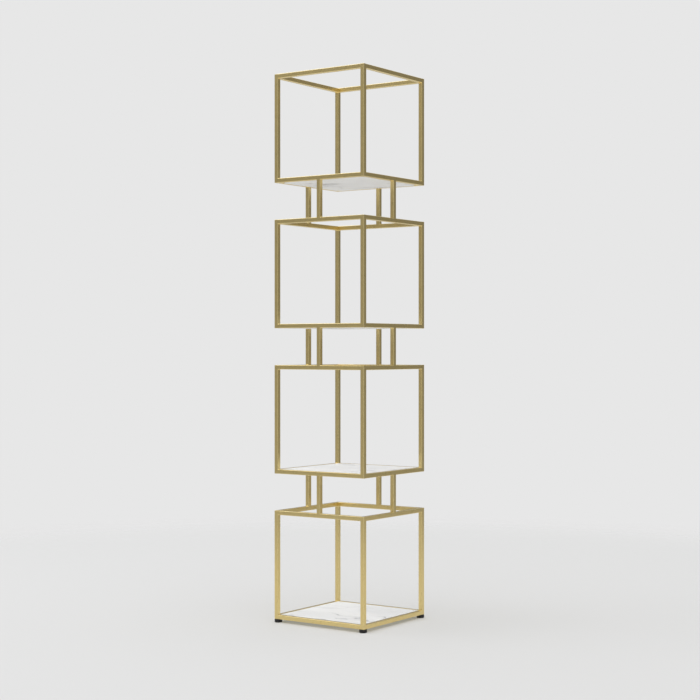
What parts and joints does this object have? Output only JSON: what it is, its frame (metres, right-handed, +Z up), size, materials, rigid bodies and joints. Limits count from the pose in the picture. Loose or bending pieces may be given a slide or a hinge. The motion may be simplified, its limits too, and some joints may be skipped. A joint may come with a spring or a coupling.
{
  "type": "etagere tower",
  "caption": "Tall free-standing display tower of stacked open cube frames in square tube, with stone shelves let into the frames and levelling feet.",
  "frame": {"origin": "on the floor under the middle of the tower, where the foot pads rest", "axes": "+Z up along the tower, -Y towards the front, +X to the right"},
  "size_m": [0.387, 0.387, 1.9185],
  "materials": {
    "gold_tube": "satin brass-coloured plating on steel tube",
    "marble": "honed white marble with faint grey veins",
    "foot_plastic": "matte black moulded plastic",
    "zinc_steel": "zinc-plated steel",
    "clear_dot": "clear soft bumper dot"
  },
  "bodies": {
    "frame": {"upright_1_front_left": "gold_tube", "upright_1_front_right": "gold_tube", "upright_1_back_right": "gold_tube", "upright_1_back_left": "gold_tube", "upright_2_front_left": "gold_tube", "upright_2_front_right": "gold_tube", "upright_2_back_right": "gold_tube", "upright_2_back_left": "gold_tube", "upright_3_front_left": "gold_tube", "upright_3_front_right": "gold_tube", "upright_3_back_right": "gold_tube", "upright_3_back_left": "gold_tube", "upright_4_front_left": "gold_tube", "upright_4_front_right": "gold_tube", "upright_4_back_right": "gold_tube", "upright_4_back_left": "gold_tube", "base_rails_1": "gold_tube", "base_rails_2": "gold_tube", "base_rails_3": "gold_tube", "base_rails_4": "gold_tube", "top_rails_1": "gold_tube", "top_rails_2": "gold_tube", "top_rails_3": "gold_tube", "top_rails_4": "gold_tube", "post_1_front": "gold_tube", "post_1_right": "gold_tube", "post_1_back": "gold_tube", "post_1_left": "gold_tube", "post_2_front": "gold_tube", "post_2_right": "gold_tube", "post_2_back": "gold_tube", "post_2_left": "gold_tube", "post_3_front": "gold_tube", "post_3_right": "gold_tube", "post_3_back": "gold_tube", "post_3_left": "gold_tube", "shelf_tabs_1": "gold_tube", "shelf_tabs_2": "gold_tube", "shelf_tabs_3": "gold_tube", "shelf_tabs_4": "gold_tube", "shelf_dots_1": "clear_dot", "shelf_dots_2": "clear_dot", "shelf_dots_3": "clear_dot", "shelf_dots_4": "clear_dot", "bottom_end_caps": "gold_tube", "top_end_caps": "gold_tube", "foot_nut_plates": "zinc_steel"},
    "shelf_1": {"stone_shelf_1": "marble"},
    "shelf_2": {"stone_shelf_2": "marble"},
    "shelf_3": {"stone_shelf_3": "marble"},
    "shelf_4": {"stone_shelf_4": "marble"},
    "pad_front_left": {"foot_pad_front_left": "foot_plastic"},
    "stud_front_left": {"foot_stud_front_left": "zinc_steel"},
    "pad_front_right": {"foot_pad_front_right": "foot_plastic"},
    "stud_front_right": {"foot_stud_front_right": "zinc_steel"},
    "pad_back_right": {"foot_pad_back_right": "foot_plastic"},
    "stud_back_right": {"foot_stud_back_right": "zinc_steel"},
    "pad_back_left": {"foot_pad_back_left": "foot_plastic"},
    "stud_back_left": {"foot_stud_back_left": "zinc_steel"}
  },
  "joints": [
    {"name": "shelf_1_lift", "type": "slide", "parent": "frame", "child": "shelf_1", "axis": [0, 0, 1], "range_m": [0, 0.3]},
    {"name": "shelf_2_lift", "type": "slide", "parent": "frame", "child": "shelf_2", "axis": [0, 0, 1], "range_m": [0, 0.3]},
    {"name": "shelf_3_lift", "type": "slide", "parent": "frame", "child": "shelf_3", "axis": [0, 0, 1], "range_m": [0, 0.3]},
    {"name": "shelf_4_lift", "type": "slide", "parent": "frame", "child": "shelf_4", "axis": [0, 0, 1], "range_m": [0, 0.3]},
    {"name": "foot_front_left_height", "type": "slide", "parent": "frame", "child": "pad_front_left", "axis": [0, 0, -1], "range_m": [0, 0.012]},
    {"name": "foot_front_left_screw", "type": "hinge", "parent": "pad_front_left", "child": "stud_front_left", "pos_m": [-0.18, -0.18, 0.0115], "axis": [0, 0, 1], "range_deg": [0, 4320]},
    {"name": "foot_front_right_height", "type": "slide", "parent": "frame", "child": "pad_front_right", "axis": [0, 0, -1], "range_m": [0, 0.012]},
    {"name": "foot_front_right_screw", "type": "hinge", "parent": "pad_front_right", "child": "stud_front_right", "pos_m": [0.18, -0.18, 0.0115], "axis": [0, 0, 1], "range_deg": [0, 4320]},
    {"name": "foot_back_right_height", "type": "slide", "parent": "frame", "child": "pad_back_right", "axis": [0, 0, -1], "range_m": [0, 0.012]},
    {"name": "foot_back_right_screw", "type": "hinge", "parent": "pad_back_right", "child": "stud_back_right", "pos_m": [0.18, 0.18, 0.0115], "axis": [0, 0, 1], "range_deg": [0, 4320]},
    {"name": "foot_back_left_height", "type": "slide", "parent": "frame", "child": "pad_back_left", "axis": [0, 0, -1], "range_m": [0, 0.012]},
    {"name": "foot_back_left_screw", "type": "hinge", "parent": "pad_back_left", "child": "stud_back_left", "pos_m": [-0.18, 0.18, 0.0115], "axis": [0, 0, 1], "range_deg": [0, 4320]}
  ],
  "couplings": [
    {"joint": "foot_front_left_screw", "follows": "foot_front_left_height", "rad_per_m": 6283.2},
    {"joint": "foot_front_right_screw", "follows": "foot_front_right_height", "rad_per_m": 6283.2},
    {"joint": "foot_back_right_screw", "follows": "foot_back_right_height", "rad_per_m": 6283.2},
    {"joint": "foot_back_left_screw", "follows": "foot_back_left_height", "rad_per_m": 6283.2}
  ]
}
